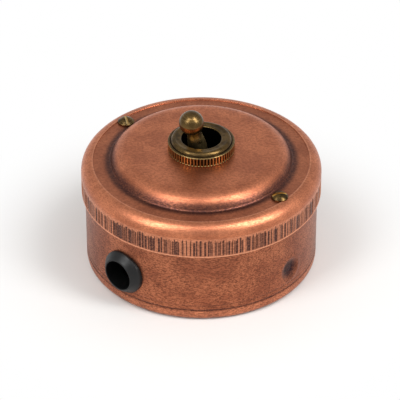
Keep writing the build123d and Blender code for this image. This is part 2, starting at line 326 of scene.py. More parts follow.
# %% [markdown]
# ## Layers of film
# A finish is built as it forms on the real piece: bare metal first, then film, dirt and
# rubbed places laid over it, each with a mask that is multiplied by how strongly the layer
# shows. The last mix goes to the shader's base colour.

# %% Layer helpers
# The colour sockets of a Mix node, which has a set for each kind of value.
COLOUR_A, COLOUR_B, COLOUR_OUT = 6, 7, 2


def laid_over(t, under, mask, share, film):
    """The colour under a film and the film itself, mixed as strongly as the mask says."""
    strength = add(t, MATH, [mask, share], operation="MULTIPLY")
    return add(t, MIX, {"Factor": strength, COLOUR_A: under, COLOUR_B: linear(film)}, COLOUR_OUT,
               data_type="RGBA")


def bare_surface(name, metallic):
    """A new material, its tree, its shader and the position on the piece itself."""
    material = bpy.data.materials.new(name)
    material.use_nodes = True
    t = material.node_tree
    shader = t.nodes["Principled BSDF"]
    shader.inputs["Metallic"].default_value = metallic
    return material, t, shader, add(t, "ShaderNodeTexCoord", out="Object")


def finished(t, shader, colour, rough, relief, relief_mm, strength=1.0):
    """Link the colour, the roughness and a bump of a real height to the shader."""
    t.links.new(colour, shader.inputs["Base Color"])
    t.links.new(rough, shader.inputs["Roughness"])
    normal = add(t, "ShaderNodeBump", {"Height": relief, "Distance": relief_mm * MM,
                                       "Strength": strength}, "Normal")
    t.links.new(normal, shader.inputs["Normal"])


# %% [markdown]
# ## Aged copper
# Copper browns in air. The maker darkens it with a sulphur wash and then rubs it back, so
# the dark stays in corners, scratches and stamped lines, and high edges shine pink. The
# sheet was rubbed by hand with a coarse pad: straight strokes on top, level ones on the
# walls. A smooth noise alone would look like paint, so a fine speck of film, strokes drawn
# out to several times their width, and a slow mottle are laid one over another.

# %% Copper finish
COPPER_BARE = "D1815C"
COPPER_FILM = "9C583F"
COPPER_BROWN = "5E372B"
COPPER_RUBBED = "EFA985"
COPPER_DARK = "302327"
BRUSH_TURN_DEG = 40.4
STROKE_MM = 0.3
SPECK_MM = 0.36
MOTTLE_MM = 8.0
TOP_STRETCH = 7
WALL_STRETCH = 3
COPPER_RELIEF_MM = 0.014


def aged_copper(name, dark, rubbed, brown, film, fine_film):
    """Copper with rubbed-back film: satin, with streaks that break its highlights up."""
    material, t, shader, place = bare_surface(name, 1.0)
    mottle = add(t, NOISE, {"Vector": place, "Scale": per_mm(MOTTLE_MM), "Detail": 5.0,
                            "Roughness": 0.6})
    speck = add(t, NOISE, {"Vector": place, "Scale": per_mm(SPECK_MM), "Detail": 3.0,
                           "Roughness": 0.7})
    straight = add(t, MAPPING, {"Vector": place, "Scale": (TOP_STRETCH, 1, 1),
                                "Rotation": (0, 0, math.radians(BRUSH_TURN_DEG))},
                   vector_type="TEXTURE")
    level = add(t, MAPPING, {"Vector": place, "Scale": (WALL_STRETCH, WALL_STRETCH, 1)},
                vector_type="TEXTURE")
    top_strokes = add(t, NOISE, {"Vector": straight, "Scale": per_mm(STROKE_MM), "Detail": 2.0})
    wall_strokes = add(t, NOISE, {"Vector": level, "Scale": per_mm(STROKE_MM), "Detail": 2.0})
    strokes = add(t, MATH, [top_strokes, wall_strokes], operation="ADD")
    relief = add(t, MATH, [strokes, speck], operation="ADD")
    broad = add(t, RANGE, [mottle, 0.36, 0.64], interpolation_type="SMOOTHSTEP")
    fine = add(t, RANGE, [relief, 1.3, 1.75], interpolation_type="SMOOTHSTEP")
    colour = laid_over(t, linear(COPPER_BARE), broad, film, COPPER_FILM)
    colour = laid_over(t, colour, fine, fine_film, COPPER_BROWN)
    for place_of, share in brown:
        colour = laid_over(t, colour, place_of(t, place), share, COPPER_BROWN)
    worn = add(t, RANGE, [relief, 1.75, 1.2, 0.35, 1.0])
    ragged = add(t, RANGE, [relief, 1.15, 1.6, 0.7, 1.0])
    for places, tone, broken in ((rubbed, COPPER_RUBBED, worn), (dark, COPPER_DARK, ragged)):
        for place_of, share in places:
            mask = add(t, MATH, [place_of(t, place), broken], operation="MULTIPLY")
            colour = laid_over(t, colour, mask, share, tone)
    rough = add(t, RANGE, [relief, 1.2, 1.8, 0.33, 0.46])
    finished(t, shader, colour, rough, relief, COPPER_RELIEF_MM)
    return material


print("stroke width", STROKE_MM, "mm, speck", SPECK_MM, "mm, mottle", MOTTLE_MM, "mm")

# %% [markdown]
# ## The lid
# One sheet, spun over a wooden former: a raised dome, a flat ring for the screws, a fine
# lip, a soft shoulder and a straight skirt. The inside follows one sheet thickness further
# in, without the lip and with coarser bends. It could be a Spin or a Screw modifier, but a
# plain sweep leaves a mesh with even columns, which the rolled marks need.

# %% Lid outline
SHEET = 0.8
SHOULDER_BEND = 3.95
LIP_WIDTH = 4.1
LIP_HEIGHT = 0.3
LIP_BEND = 0.14
RING_WIDTH = 5.6
DOME_RISE = 4.2
DOME_SLOPE = 2.0
DOME_BEND = 6.0
DOME_FOOT_BEND = 0.9
BUSH_HOLE = 8.2
LID_ROW = 4.0
FINE_ROW = 0.3
MARK_LOW = 0.4
MARK_HIGH = 6.9
ROWS_AT_START = 0.6
ROWS_AT_END = 1.8
ROWS_PAST_END = 0.3
LID_COLUMNS = 1344
INNER_STEP_DEG = 24

dome_top = lid_high.z
skirt_low = lid_low.z
ring_top = dome_top - DOME_RISE
lip_r = lid_r - LIP_WIDTH
dome_r = lip_r - RING_WIDTH


def lid_skin(inset):
    """The outline of the outer skin, or of the inner one at one sheet inset."""
    shoulder = ring_top + (LIP_HEIGHT if inset == 0 else -inset)
    corners = [(lid_r - inset, skirt_low, 0), (lid_r - inset, shoulder, SHOULDER_BEND - inset)]
    if inset == 0:
        corners += [(lip_r, shoulder, LIP_BEND), (lip_r, ring_top, LIP_BEND)]
    side = math.hypot(DOME_SLOPE, DOME_RISE)
    foot = dome_r - inset * (side - DOME_SLOPE) / DOME_RISE
    corners += [(foot, ring_top - inset, DOME_FOOT_BEND + inset),
                (foot - DOME_SLOPE, dome_top - inset, DOME_BEND - inset),
                (BUSH_HOLE, dome_top - inset, 0)]
    return rounded(corners, 12 if inset == 0 else INNER_STEP_DEG)


outer = lid_skin(0)
# Rows are fine only where the marks start and end.
edge = [outer[0], outer[0] + Vector((0, MARK_LOW + ROWS_AT_START))]
ragged = [Vector((lid_r, skirt_low + MARK_HIGH - ROWS_AT_END)),
          Vector((lid_r, skirt_low + MARK_HIGH + ROWS_PAST_END))]
outline = divided(edge, FINE_ROW) + divided(ragged, FINE_ROW) + divided(outer[1:], LID_ROW)
outline += lid_skin(SHEET)[::-1]
print("lid outline points", len(outline))

# %% [markdown]
# ## Rolled marks on the skirt
# A worn knurling wheel was rolled round the skirt by hand, so the marks are uneven: some
# are wide and dark, some only scratches, and their tops are ragged. Cutting them one by
# one would be slow. A Geometry Nodes tree divides the skirt into cells, gives each cell a
# mark with a chance width, place and height, and pushes the skirt in there. It also
# stores how deep it went, so that the material can leave dark film in the marks.


# %% Trees that grow patterns
def pattern_tree(name, sizes, counts=()):
    """A Geometry Nodes tree with a mesh, named sizes, whole numbers and a finish as inputs."""
    t = bpy.data.node_groups.new(name, "GeometryNodeTree")
    wanted = [("Geometry", "Geometry"), *((size, "Float") for size in sizes),
              *((number, "Int") for number in counts), ("Finish", "Material")]
    for label, kind in wanted:
        t.interface.new_socket(label, in_out="INPUT", socket_type="NodeSocket" + kind)
    t.interface.new_socket("Geometry", in_out="OUTPUT", socket_type="NodeSocketGeometry")
    return t, t.nodes.new("NodeGroupInput").outputs


def pattern_end(t, geometry, finish):
    """Every tree ends in real geometry with its finish set."""
    real = add(t, "GeometryNodeRealizeInstances", {"Geometry": geometry})
    done = add(t, "GeometryNodeSetMaterial", {"Geometry": real, "Material": finish})
    add(t, "NodeGroupOutput", {"Geometry": done})
    return t


def pressed_in(t, place, geometry, mask, depth, name):
    """Store how deep each point goes under a name, and push it towards the Z axis."""
    flat = add(t, VECTOR, [place, (-1, -1, 0)], operation="MULTIPLY")
    inward = add(t, VECTOR, [flat], operation="NORMALIZE")
    far = add(t, MATH, [mask, depth], operation="MULTIPLY")
    push = add(t, VECTOR, {0: inward, "Scale": far}, operation="SCALE")
    stored = add(t, "GeometryNodeStoreNamedAttribute",
                 {"Geometry": geometry, "Name": name, "Value": mask},
                 data_type="FLOAT", domain="POINT")
    return add(t, "GeometryNodeSetPosition", {"Geometry": stored, "Offset": push})


def ended(t, place, mask, low, top, fade):
    """Stop an upright mark at two heights, fading over a short length at both ends."""
    full = add(t, MATH, [top, fade * MM], operation="SUBTRACT")
    under = add(t, RANGE, [height_of(t, place), top, full], interpolation_type="SMOOTHSTEP")
    started = add(t, MATH, [low, fade * MM], operation="ADD")
    over = add(t, RANGE, [height_of(t, place), low, started], interpolation_type="SMOOTHSTEP")
    ends = add(t, MATH, [under, over], operation="MULTIPLY")
    return add(t, MATH, [mask, ends], operation="MULTIPLY")


def on_skin(t, place, mask, radius, reach):
    """Keep a mask only near a round skin, so that the inside of the piece stays plain."""
    skin = add(t, MATH, [radius, reach * MM], operation="SUBTRACT")
    outside = add(t, MATH, [from_axis(t, place), skin], operation="GREATER_THAN")
    return add(t, MATH, [mask, outside], operation="MULTIPLY")


# %% Marks tree
RANDOM = "FunctionNodeRandomValue"
# The sockets of a Random Value node that draws plain numbers.
LEAST, MOST, CELL, SEED, DRAWN = 2, 3, 7, 8, 1
MARK_FADE = 0.4
SKIN_REACH = 0.4
RARITY = 2.0
FLAT_SHARE = 0.6
SECOND_SEED = 10


def row_of_marks(t, place, given, count, seed, narrow, wide, faintest):
    """One row of upright marks, one in each cell. Widths are shares of a cell."""
    along = add(t, MATH, [way_round(t, place), count], operation="MULTIPLY")
    cell = add(t, MATH, [along], operation="FLOOR")
    drawn = []
    for step, (least, most) in enumerate([(0.2, 0.8), (0, 1), (faintest, 1), (0, 1)]):
        number = add(t, MATH, [seed, step], operation="ADD")
        drawn.append(add(t, RANDOM, {LEAST: least, MOST: most, CELL: cell, SEED: number}, DRAWN))
    middle, spread, strength, drop = drawn
    inside = add(t, MATH, [along, cell], operation="SUBTRACT")
    off = add(t, MATH, [inside, middle], operation="SUBTRACT")
    off = add(t, MATH, [off], operation="ABSOLUTE")
    rare = add(t, MATH, [spread, RARITY], operation="POWER")
    half = add(t, RANGE, [rare, 0, 1, narrow / 2, wide / 2])
    floor = add(t, MATH, [half, FLAT_SHARE], operation="MULTIPLY")
    mark = add(t, RANGE, [off, half, floor], interpolation_type="SMOOTHSTEP")
    mark = add(t, MATH, [mark, strength], operation="MULTIPLY")
    lost = add(t, MATH, [drop, given["Ragged"]], operation="MULTIPLY")
    top = add(t, MATH, [given["High"], lost], operation="SUBTRACT")
    return ended(t, place, mark, given["Low"], top, MARK_FADE)


def marks_tree():
    """Two rows of marks over each other: broad ones, and many fine scratches."""
    t, given = pattern_tree("skirt_marks", ("Skirt radius", "Low", "High", "Ragged", "Depth"),
                            ("Marks", "Scratches", "Seed"))
    place = add(t, "GeometryNodeInputPosition")
    broad = row_of_marks(t, place, given, given["Marks"], given["Seed"],
                         narrow=0.3, wide=0.9, faintest=0.3)
    other = add(t, MATH, [given["Seed"], SECOND_SEED], operation="ADD")
    fine = row_of_marks(t, place, given, given["Scratches"], other,
                        narrow=0.4, wide=0.7, faintest=0.0)
    mask = add(t, MATH, [broad, fine], operation="MAXIMUM")
    mask = on_skin(t, place, mask, given["Skirt radius"], SKIN_REACH)
    done = pressed_in(t, place, given["Geometry"], mask, given["Depth"], "mark")
    return pattern_end(t, done, given["Finish"])


# %% [markdown]
# ## The lid's own finish
# Dark film lies at the foot of the dome, where a cloth can't reach, and in the marks. The
# flat ring is painted browner than the dome, as painted shade where it mirrors the dome's
# dark side. The shoulder, the dome's edge, the fine lip, the metal between the marks and the
# skirt's lower edge are rubbed bright.


# %% Lid finish
FILM_GAIN = 2.3

dome_edge = in_ring(dome_r - 4.0, dome_r - 2.8, soft=1.1)
dome_foot = in_ring(dome_r - 0.4, dome_r + 0.7, soft=2.2)
# Painted shade: the flat ring round the dome is painted browner, where it mirrors the dark side of the
# dome.
ring_shade = in_ring(dome_r, lip_r + 0.05, soft=0.1)
lip = in_ring(lip_r + 0.15, lip_r + 0.5, soft=0.1)
shoulder = in_ring(lip_r + 0.6, lid_r - 0.5, soft=0.5)
skirt_edge = in_band(skirt_low - 1, skirt_low + 0.25, soft=0.2)


def rolled_marks(t, place):
    """Film fills even a shallow mark, so the stored depth is counted more than once."""
    depth = add(t, "ShaderNodeAttribute", out="Fac", attribute_name="mark")
    return add(t, MATH, [depth, FILM_GAIN], operation="MULTIPLY", use_clamp=True)


def skirt_band(t, place):
    band = between(t, height_of(t, place), skirt_low - 1, skirt_low + MARK_HIGH, soft=0.6)
    return on_skin(t, place, band, lid_r * MM, SKIN_REACH)


lid_copper = aged_copper(
    "spun_aged_copper", dark=[(dome_foot, 0.85), (rolled_marks, 0.9)],
    rubbed=[(lip, 0.5), (dome_edge, 0.1), (shoulder, 0.15), (skirt_band, 0.4), (skirt_edge, 0.9)],
    brown=[(ring_shade, 0.25)], film=0.5, fine_film=0.38)
print("finish", lid_copper.name)

# %% [markdown]
# ## Lid mesh
# The screws sit in shallow flats, because the ring is only just wider than their heads.
# Those flats and the screw holes are cut first, while the skirt is still plain, and the
# marks are pushed in afterwards.

# %% Lid mesh
SCREW_HOLE = 1.8
SCREW_SEAT = 2.9
MARKS = 216
SCRATCHES = 470
MARK_DEPTH = 0.2
MARK_RAGGED = 1.2
MARK_SEED = 3

lid = turned("copper_lid", outline, LID_COLUMNS)
cutters = [placed(drill(radius, low, dome_top), shift(side * screw_ring_r, 0, 0))
           for side in (-1, 1) for radius, low in ((SCREW_HOLE, ring_top - 3), (SCREW_SEAT, ring_top))]
cut(lid, *cutters)
grown(lid, marks_tree(), {
    "Skirt radius": lid_r * MM, "Low": (skirt_low + MARK_LOW) * MM,
    "High": (skirt_low + MARK_HIGH) * MM, "Ragged": MARK_RAGGED * MM, "Depth": MARK_DEPTH * MM,
    "Marks": MARKS, "Scratches": SCRATCHES, "Seed": MARK_SEED, "Finish": lid_copper})
dressed(lid, "case", "copper", "lid", crease_deg=50)

# %% [markdown]
# ## The drum
# The base was drawn from flat copper in a press, then two lines were rolled round its foot
# to stiffen it. A punch left a dark pit on one side, where a second cable could enter. The
# pit is made by pushing the wall in with a smooth formula, as the punch would.

# %% Drum outline
WALL = 0.9
FOOT_BEND = 2.2
LINES = ((4.2, 0.2), (6.0, 0.1))
LINE_HALF = 0.4
LINE_BEND = 0.3
DRUM_COLUMNS = 720
WALL_ROW = 0.5

rim = base_high.z
skin = [(0, 0, 0), (base_r, 0, FOOT_BEND)]
for line_z, depth in LINES:
    skin += [(base_r, line_z - LINE_HALF, LINE_BEND / 2), (base_r - depth, line_z, LINE_BEND),
             (base_r, line_z + LINE_HALF, LINE_BEND / 2)]
skin = rounded(skin + [(base_r, rim, 0)], 20)
drum_outline = skin[:1] + divided(skin[1:], WALL_ROW)
inside = [(base_r - WALL, rim, 0), (base_r - WALL, WALL, FOOT_BEND - WALL), (0, WALL, 0)]
drum_outline += rounded(inside, 20)
print("drum outline points", len(drum_outline))

# %% Drum finish
PIT_Z = 11.4
PIT_R = 4.4
PIT_DEPTH = 1.1
PIT_POINT = 0.45
PIT_POINT_R = 0.9
PIT_RIM = 0.15
PIT_RIM_WIDTH = 0.9
STAIN_FULL = 1.6
STAIN_END = 5.1

lower_z, upper_z = (z for z, depth in LINES)
foot_rub = in_band(0.4, lower_z - 0.9, soft=0.8)
lower_line = in_band(lower_z - 0.15, lower_z + 0.15, soft=0.35)
upper_line = in_band(upper_z - 0.1, upper_z + 0.1, soft=0.3)
drum_wall = in_band(lower_z, rim, soft=1.0)


def pit_stain(t, place):
    """Dark film in the punched pit, darkest in its middle."""
    away = add(t, VECTOR, [place, (base_r * MM, 0, PIT_Z * MM)], operation="SUBTRACT")
    away = add(t, VECTOR, [away], "Value", operation="LENGTH")
    return add(t, RANGE, [away, STAIN_END * MM, STAIN_FULL * MM], interpolation_type="SMOOTHSTEP")


drum_copper = aged_copper(
    "drawn_aged_copper", dark=[(pit_stain, 1.0), (lower_line, 0.6), (upper_line, 0.25)],
    rubbed=[(foot_rub, 0.2)], brown=[(drum_wall, 0.25)], film=0.7, fine_film=0.8)
print("finish", drum_copper.name)

# %% Drum mesh
FIXING_R = 2.25
FIXING_X = 25.4
TAIL_R = 1.95
EARTH_X, EARTH_Y = 17.0, -22.0
GROMMET_NECK = 6.3


def punched(piece):
    """Push the wall in at the pit, and leave the thin rim that a punch raises."""
    for vertex in piece.data.vertices:
        spot = vertex.co / MM
        away = math.hypot(spot.y, spot.z - PIT_Z)
        if spot.x < 0 or away > 2 * PIT_R or spot.z < FOOT_BEND:
            continue
        dent = PIT_DEPTH * max(0.0, 1 - (away / PIT_R) ** 2) ** 2
        dent += PIT_POINT * math.exp(-(away / PIT_POINT_R) ** 2)
        dent -= PIT_RIM * math.exp(-((away - PIT_R) / PIT_RIM_WIDTH) ** 2)
        vertex.co.x -= dent * MM
    return piece


drum = punched(turned("copper_drum", drum_outline, DRUM_COLUMNS, drum_copper))
holes = [(FIXING_R, side * FIXING_X, 0) for side in (-1, 1)]
holes += [(TAIL_R, side * screw_ring_r, 0) for side in (-1, 1)] + [(TAIL_R, EARTH_X, EARTH_Y)]
cutters = [placed(drill(radius, -2, 3), shift(x, y, 0)) for radius, x, y in holes]
cutters.append(placed(drill(GROMMET_NECK, -4, 4),
                      shift(0, -base_r, entry_z) @ Matrix.Rotation(math.radians(90), 4, "X")))
cut(drum, *cutters)
dressed(drum, "case", "copper", "base_cup")

# %% [markdown]
# ## Antique brass
# Turned brass that was darkened chemically is nearly black in hollows and shows yellow
# metal where fingers polish it. The nut's bore and the groove round its bead are painted
# darker still, as painted shade. The lever's neck is brightened further, and the screws'
# slots are painted bright, as painted highlights. The lathe leaves fine level rings, which
# draw a highlight out into an upright gleam. On the real piece they are finer than a pixel,
# so they are drawn 0.25 mm apart here, as a noise that is very wide and only a little high.

# %% Brass finish
BRASS_BROWN = "66502F"
BRASS_RUBBED = "CFB27A"
BRASS_DARK = "19130D"
LATHE_RING_MM = 0.25
RING_RELIEF_MM = 0.006
RING_SHARE = 0.12
PATCH_MM = 2.4
BRASS_ROUGH = 0.3


def antique_brass(name, film, dark=(), rubbed=()):
    """Turned brass under a dark film: brown, with warm gleams drawn out upright."""
    material, t, shader, place = bare_surface(name, 1.0)
    wide = add(t, MAPPING, {"Vector": place, "Scale": (60, 60, 1)}, vector_type="TEXTURE")
    rings = add(t, NOISE, {"Vector": wide, "Scale": per_mm(LATHE_RING_MM), "Detail": 2.0})
    patch = add(t, NOISE, {"Vector": place, "Scale": per_mm(PATCH_MM), "Detail": 5.0,
                           "Roughness": 0.65})
    film_mask = add(t, RANGE, [patch, 0.38, 0.62], interpolation_type="SMOOTHSTEP")
    colour = laid_over(t, linear(BRASS_BROWN), film_mask, film, BRASS_DARK)
    ring_mask = add(t, RANGE, [rings, 0.5, 0.7], interpolation_type="SMOOTHSTEP")
    colour = laid_over(t, colour, ring_mask, RING_SHARE, BRASS_RUBBED)
    # Besides real wear and film, these lists carry painted shade (the nut's bore and bead groove) and
    # painted highlights (the lever's neck, the screws' slots).
    for places, tone in ((rubbed, BRASS_RUBBED), (dark, BRASS_DARK)):
        for place_of, share in places:
            colour = laid_over(t, colour, place_of(t, place), share, tone)
    uneven = add(t, RANGE, [patch, 0.3, 0.7, BRASS_ROUGH - 0.06, BRASS_ROUGH + 0.1])
    finished(t, shader, colour, uneven, rings, RING_RELIEF_MM)
    return material


def tooth_grooves(t, place):
    return add(t, "ShaderNodeAttribute", out="Fac", attribute_name="tooth_groove")


def rim_teeth(t, place):
    return add(t, RANGE, [from_axis(t, place), (nut_r - 0.25) * MM, nut_r * MM])


def bead_groove_shade(t, place):
    """Painted shade in the groove round the nut's bead, from 1 mm under its top."""
    ring = between(t, from_axis(t, place), 10.0, 10.3, 0.15)
    low = add(t, RANGE, [height_of(t, place), nut_high.z * MM - 0.001, nut_high.z * MM - 0.0014])
    return add(t, MATH, [ring, low], operation="MULTIPLY")


# Painted highlight: the faces of each screw's sawn slot are painted bright brass.
def painted_slot_highlight(t, place):
    return add(t, "ShaderNodeAttribute", out="Fac", attribute_name="sawn")


# Painted shade: the nut's bore and lip are painted nearly black, as the shade inside the hole.
bore_shade = in_ring(0, 6.65, soft=0.1)
# Fingers and the nut keep the lever bright above its pivot and under the ball. The band is painted
# brighter still, as a painted highlight, where the neck would mirror the dark bore.
rubbed_and_lit_neck = in_band(nut_high.z - 4.0, nut_high.z + 1.8, soft=2.0)
nut_brass = antique_brass("turned_antique_brass_nut", film=0.6, rubbed=[(rim_teeth, 0.3)],
                          dark=[(tooth_grooves, 0.85), (bore_shade, 1.0), (bead_groove_shade, 0.8)])
lever_brass = antique_brass("turned_antique_brass_lever", film=0.4, rubbed=[(rubbed_and_lit_neck, 0.8)])
screw_brass = antique_brass("turned_antique_brass_screw", film=0.85, rubbed=[(painted_slot_highlight, 0.95)])
print("lathe rings", LATHE_RING_MM, "mm apart")

# %% [markdown]
# ## The ring nut
# The nut is turned first: a rim, a groove, a round bead and a slightly dished face down to
# the bore. Its rim is then knurled with straight teeth. Geometry Nodes sinks the grooves
# between the teeth, with a round top to each, as the cutter leaves it.

# %% Nut outline
NUT_RIM = 3.4
NUT_LIP = 1.2
NUT_BORE = 6.6
THREAD_R = 8.05
BEAD_R = 10.1
BEAD_BEND = 1.2
NUT_EDGE = 0.35
NECK_DEPTH = 0.2
NECK_WIDTH = 0.25
DISH_R = 8.0
DISH_DEPTH = 0.3
NUT_ROW = 0.16

nut_z = nut_low.z
nut_top = nut_high.z
rim_z = nut_z + NUT_RIM
lip_z = nut_top - NUT_LIP
face = [(THREAD_R, nut_z, 0), (nut_r, nut_z, NUT_EDGE), (nut_r, rim_z, NUT_EDGE),
        (BEAD_R + NECK_WIDTH, rim_z, 0.1), (BEAD_R + NECK_WIDTH / 2, rim_z - NECK_DEPTH, 0.08),
        (BEAD_R, rim_z, 0.1), (BEAD_R, nut_top, BEAD_BEND), (DISH_R, nut_top - DISH_DEPTH, 1.5),
        (NUT_BORE + 0.4, nut_top - DISH_DEPTH, 0.4), (NUT_BORE, nut_top - 0.6, 0.2),
        (NUT_BORE, lip_z, 0)]
face = divided(rounded(face)[1:-1], NUT_ROW)
nut_outline = [Vector(c) for c in ((NUT_BORE, lip_z), (THREAD_R, lip_z), (THREAD_R, nut_z))] + face
print("nut outline points", len(nut_outline))

# %% Knurled nut
NUT_TEETH = 64
TOOTH_DEPTH = 0.38
NUT_COLUMNS = 640
GROOVE_SHARE = 0.3
ARCH = 0.5
GROOVE_FADE = 0.25


def knurl_tree():
    """Straight grooves round a rim, each a strip of its cell with an arched top."""
    t, given = pattern_tree("nut_knurl", ("Low", "High", "Depth", "Rim radius", "Arch"), ("Teeth",))
    place = add(t, "GeometryNodeInputPosition")
    along = add(t, MATH, [way_round(t, place), given["Teeth"]], operation="MULTIPLY")
    inside = add(t, MATH, [along], operation="FRACT")
    off = add(t, MATH, [inside, 0.5], operation="SUBTRACT")
    off = add(t, MATH, [off], operation="ABSOLUTE")
    strip = add(t, RANGE, [off, GROOVE_SHARE, GROOVE_SHARE / 2], interpolation_type="SMOOTHSTEP")
    across = add(t, RANGE, [off, 0, GROOVE_SHARE])
    curve = add(t, MATH, [across, 2.0], operation="POWER")
    arch = add(t, MATH, [curve, given["Arch"]], operation="MULTIPLY")
    top = add(t, MATH, [given["High"], arch], operation="SUBTRACT")
    mask = ended(t, place, strip, given["Low"], top, GROOVE_FADE)
    mask = on_skin(t, place, mask, given["Rim radius"], 2 * NUT_EDGE)
    done = pressed_in(t, place, given["Geometry"], mask, given["Depth"], "tooth_groove")
    return pattern_end(t, done, given["Finish"])


nut = turned("ring_nut_brass", nut_outline, NUT_COLUMNS)
grown(nut, knurl_tree(), {"Low": (nut_z + 0.2) * MM, "High": (rim_z - 0.15) * MM, "Arch": ARCH * MM,
                          "Depth": TOOTH_DEPTH * MM, "Rim radius": nut_r * MM,
                          "Teeth": NUT_TEETH, "Finish": nut_brass})
dressed(nut, "case", "dark_brass", "ring_nut")

# %% [markdown]
# ## The grommet
# Soft black rubber, moulded in one shot and pushed into the hole. Outside the wall it is a
# short dull cone with rounded edges and a faint sheen on the upper one. A turned outline
# laid on its side gives it, and its seat is then moved back to hug the round wall.


# %% Rubber
def black_rubber():
    """Moulded black rubber: near black, dry, with one soft sheen and a faint grey bloom."""
    material, t, shader, place = bare_surface("moulded_black_rubber", 0.0)
    bloom = add(t, NOISE, {"Vector": place, "Scale": per_mm(1.0), "Detail": 4.0, "Roughness": 0.6})
    mask = add(t, RANGE, [bloom, 0.35, 0.75], interpolation_type="SMOOTHSTEP")
    colour = laid_over(t, linear("050505"), mask, 0.5, "0E0E0F")
    shader.inputs["Specular IOR Level"].default_value = 0.35
    rough = add(t, RANGE, [bloom, 0.3, 0.7, 0.34, 0.48])
    finished(t, shader, colour, rough, bloom, 0.02, 0.4)
    return material


rubber = black_rubber()
print("finish", rubber.name)

# %% Grommet
GROMMET_BORE = 5.2
GROMMET_FLANGE = 7.7
INNER_FLANGE = 7.2
INNER_T = 1.8
FACE_R = 5.65
EDGE_T = 0.7

face_y = -grommet_low.y
back_y = -grommet_high.y
inner_y = back_y + INNER_T
profile = [(GROMMET_BORE, back_y, 0), (INNER_FLANGE, back_y, 0.5), (INNER_FLANGE, inner_y, 0.3),
           (GROMMET_NECK, inner_y, 0.1), (GROMMET_NECK, base_r, 0.1), (GROMMET_FLANGE, base_r, 0.2),
           (GROMMET_FLANGE - 0.1, base_r + EDGE_T, 0.8), (FACE_R, face_y, 0.7),
           (GROMMET_BORE, face_y, 0.2), (GROMMET_BORE, back_y + 1, 0)]
grommet = turned("rubber_grommet", rounded(profile, 10), 180, rubber)
placed(grommet, shift(0, 0, entry_z) @ Matrix.Rotation(math.radians(90), 4, "X"))
for vertex in grommet.data.vertices:
    spot = vertex.co / MM
    if abs(-spot.y - base_r) < 0.3:
        vertex.co.y += (base_r - math.sqrt(base_r ** 2 - spot.x ** 2)) * MM
dressed(grommet, "case", "rubber", "cable_grommet")

# %% [markdown]
# ## The lever
# Turned from one brass bar: a ball, a slim neck that widens downwards, the pivot eye and a
# hollow lower arm. It is turned upright and then leaned to its resting angle, by baking
# the rotation into the mesh so that the object itself stays unturned.

# %% Lever
LEVER_LENGTH = 17.9
BALL_R = 4.1
NECK_R = 2.2
ROOT_R = 3.1
ROOT_TOP = 7.4
BOSS_R = 3.9
BOSS_HALF = 3.5
PIN_HOLE = 1.05
ARM_R = 3.0
ARM_LENGTH = 12.0
ARM_BORE = 2.05
ARM_WEB = 2.5
REST_LEAN = 16.0
BALL_FILLET = 0.5

joints = {joint["name"]: joint for joint in frame["record"]["behaviour"]["joints"]}
pivot = Vector(joints["toggle"]["pos_m"])
leaned = Matrix.Translation(pivot) @ Matrix.Rotation(math.radians(REST_LEAN), 4, "X")


def arc(radius, height, start_deg, end_deg, count):
    for k in range(count + 1):
        a = math.radians(start_deg + (end_deg - start_deg) * k / count)
        yield Vector((radius * math.cos(a), height + radius * math.sin(a)))


boss_low = -math.degrees(math.acos(ARM_R / BOSS_R))
boss_high = math.degrees(math.acos(ROOT_R / BOSS_R))
neck_low = LEVER_LENGTH - math.sqrt((BALL_R + BALL_FILLET) ** 2 - (NECK_R + BALL_FILLET) ** 2)
touch = -math.degrees(math.acos((NECK_R + BALL_FILLET) / (BALL_R + BALL_FILLET)))
lever_outline = [Vector(c) for c in ((0, -ARM_WEB), (ARM_BORE, -ARM_WEB), (ARM_BORE, -ARM_LENGTH),
                                     (ARM_R, -ARM_LENGTH))]
lever_outline += arc(BOSS_R, 0, boss_low, boss_high, 12)
lever_outline += rounded([(ROOT_R, 3.2, 0), (ROOT_R, ROOT_TOP, 5.6), (NECK_R, neck_low, 0)], 2)
lever_outline += [Vector((NECK_R + BALL_FILLET, neck_low)) + BALL_FILLET * Vector(
    (-math.cos(math.radians(a)), math.sin(math.radians(a)))) for a in (15, 30, 40)]
lever_outline += arc(BALL_R, LEVER_LENGTH, touch, 90, 40)
lever = turned("brass_lever", lever_outline, 128, lever_brass)
FLAT_CUT = 4.0
flats = [placed(saw(FLAT_CUT, 2 * BOSS_R, 2 * BOSS_R), shift(side * (BOSS_HALF + FLAT_CUT / 2), 0, 0))
         for side in (-1, 1)]
pin = placed(drill(PIN_HOLE, -2 * BOSS_R, 2 * BOSS_R), Matrix.Rotation(math.radians(90), 4, "Y"))
cut(lever, *flats, pin)
placed(lever, leaned)
dressed(lever, "lever", "dark_brass", "toggle_lever")

# %% [markdown]
# ## The lid screws
# Two domed screws with a sawn slot. A screw stops where it is tight, so the two slots
# point different ways. One screw is turned and slotted, and a small Geometry Nodes tree
# stands a copy on each hole with its own turn.

# %% One lid screw
HEAD_R = 2.8
HEAD_H = 1.8
HEAD_EDGE = 0.5
SHANK_R = 1.45
SHANK_LENGTH = 8.0
SLOT_WIDTH = 0.8
SLOT_DEPTH = 0.9

crown = HEAD_H - HEAD_EDGE
crown_r = (HEAD_R ** 2 + crown ** 2) / (2 * crown)
crown_deg = math.degrees(math.asin((crown_r - crown) / crown_r))
screw_outline = [Vector(c) for c in ((0, -SHANK_LENGTH), (SHANK_R - 0.4, -SHANK_LENGTH),
                                     (SHANK_R, 0.4 - SHANK_LENGTH), (SHANK_R, 0),
                                     (HEAD_R - 0.1, 0), (HEAD_R, 0.12))]
screw_outline += arc(crown_r, HEAD_H - crown_r, crown_deg, 90, 16)
screws = turned("lid_screws", screw_outline, 96, screw_brass)
cut(screws, placed(saw(4 * HEAD_R, SLOT_WIDTH, 2 * SLOT_DEPTH), shift(0, 0, HEAD_H)))

